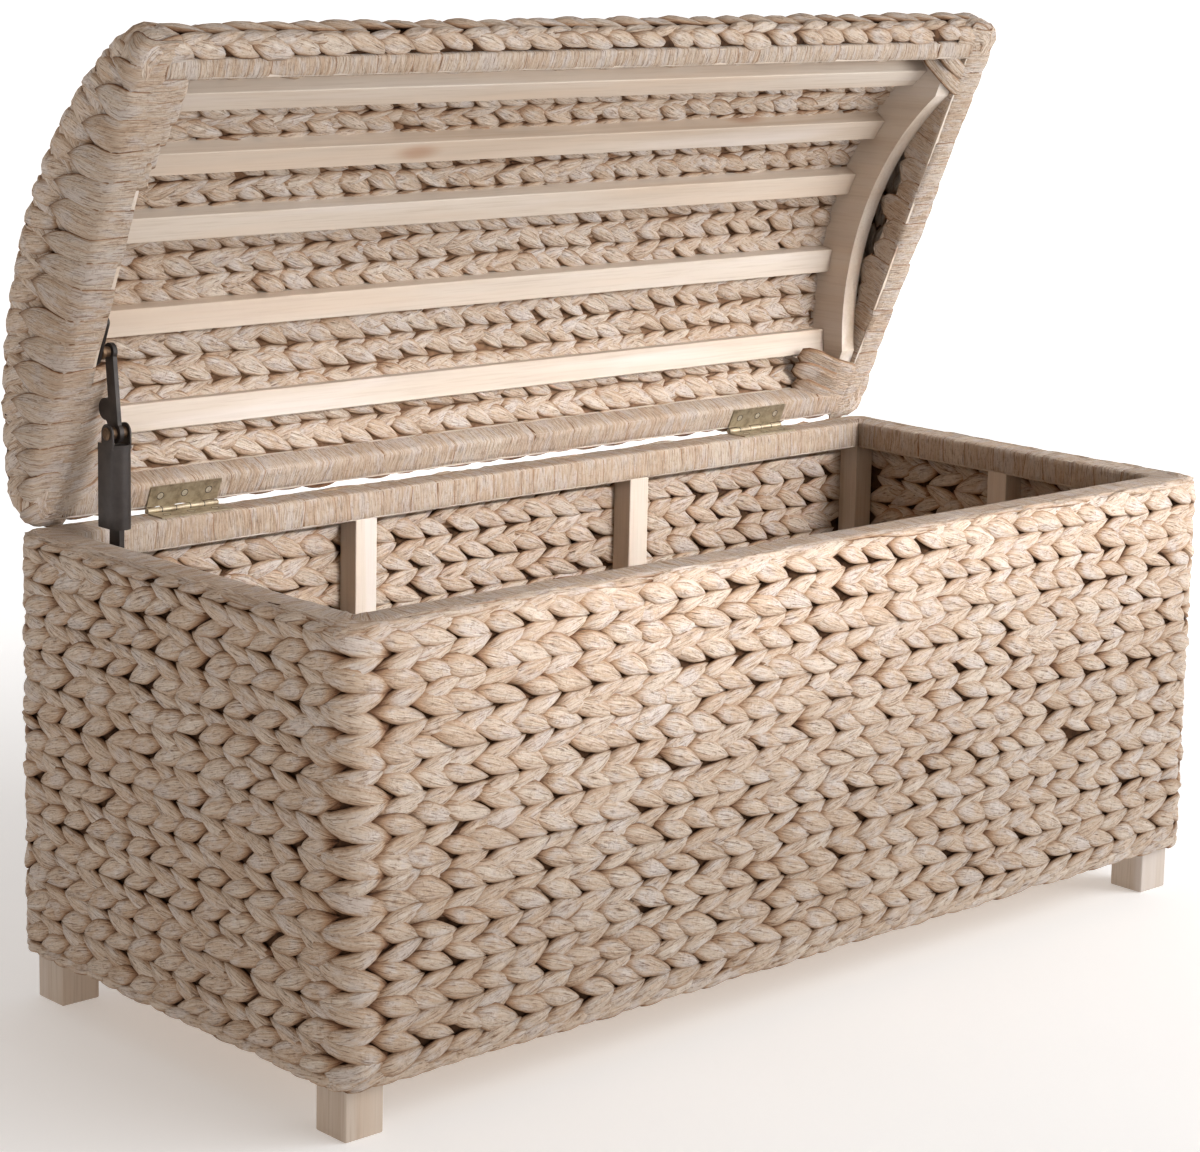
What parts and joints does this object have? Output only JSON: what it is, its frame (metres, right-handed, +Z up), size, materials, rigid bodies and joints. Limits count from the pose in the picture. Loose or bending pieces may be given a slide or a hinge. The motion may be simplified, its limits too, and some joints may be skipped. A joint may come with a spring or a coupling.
{
  "type": "storage trunk",
  "caption": "Woven plant-fibre storage trunk on a wooden frame, with square feet, a wound rim and a hinged domed lid held open by a folding stay.",
  "frame": {"origin": "centre of the whole object's footprint box on the floor, lid open", "axes": "+X along the trunk to its right end, +Y to the hinged back, +Z up"},
  "size_m": [1.067, 0.4979, 0.857],
  "materials": {
    "braid": "whitewashed braided plant fibre",
    "leaf_strip": "whitewashed flat leaf strip",
    "frame_wood": "pale planed softwood",
    "foot_wood": "pale washed softwood",
    "panel_wood": "thin plywood",
    "hinge_brass": "antique brass plate",
    "stay_metal": "satin black",
    "stay_rivet": "dark browned steel"
  },
  "bodies": {
    "trunk": {"leg_front_left": "foot_wood", "leg_front_right": "foot_wood", "leg_back_left": "foot_wood", "leg_back_right": "foot_wood", "corner_posts": "frame_wood", "wall_posts": "frame_wood", "end_posts": "frame_wood", "top_rail_front": "frame_wood", "top_rail_back": "frame_wood", "top_rail_left": "frame_wood", "top_rail_right": "frame_wood", "bottom_rail_front": "frame_wood", "bottom_rail_back": "frame_wood", "bottom_rail_left": "frame_wood", "bottom_rail_right": "frame_wood", "floor_panel": "panel_wood", "weave_front": "braid", "weave_back": "braid", "weave_left": "braid", "weave_right": "braid", "rim_wrap": "leaf_strip", "hinge_leaf_body_left": "hinge_brass", "hinge_leaf_body_right": "hinge_brass", "hinge_pin_left": "hinge_brass", "hinge_pin_right": "hinge_brass", "hinge_screws_body": "hinge_brass", "stay_body_bracket": "stay_metal", "stay_body_stud": "stay_rivet", "stay_screws_body": "stay_metal"},
    "lid": {"lid_rail_back": "frame_wood", "lid_rail_front": "frame_wood", "lid_rail_left": "frame_wood", "lid_rail_right": "frame_wood", "lid_rim_wrap": "leaf_strip", "lid_rib_left": "frame_wood", "lid_rib_right": "frame_wood", "lid_slat_1": "frame_wood", "lid_slat_2": "frame_wood", "lid_slat_3": "frame_wood", "lid_slat_4": "frame_wood", "lid_slat_5": "frame_wood", "lid_weave_dome": "braid", "lid_weave_back": "braid", "lid_weave_front": "braid", "lid_weave_left": "braid", "lid_weave_right": "braid", "hinge_leaf_lid_left": "hinge_brass", "hinge_leaf_lid_right": "hinge_brass", "hinge_screws_lid": "hinge_brass", "stay_lid_bracket": "stay_metal", "stay_lid_stud": "stay_rivet", "stay_screws_lid": "stay_metal"},
    "stay_lower": {"stay_bar": "stay_metal", "stay_housing": "stay_metal", "stay_elbow_rivet": "stay_rivet", "stay_shoe": "stay_metal", "stay_spring": "stay_metal"},
    "stay_upper": {"stay_arm": "stay_metal", "stay_tip_rivet": "stay_rivet"}
  },
  "joints": [
    {"name": "lid_hinge", "type": "hinge", "parent": "trunk", "child": "lid", "pos_m": [0, 0.2056, 0.42], "axis": [1, 0, 0], "range_deg": [0, 67.6]},
    {"name": "stay_foot", "type": "hinge", "parent": "trunk", "child": "stay_lower", "pos_m": [-0.476, 0.1406, 0.402], "axis": [1, 0, 0], "range_deg": [0, 115.2]},
    {"name": "stay_elbow", "type": "hinge", "parent": "stay_lower", "child": "stay_upper", "pos_m": [-0.476, 0.1406, 0.507], "axis": [1, 0, 0], "range_deg": [-103.8, 0]}
  ],
  "couplings": [
    {"joint": "stay_foot", "follows": "lid_hinge", "ratio": 1.702},
    {"joint": "stay_elbow", "follows": "lid_hinge", "ratio": -1.533}
  ]
}
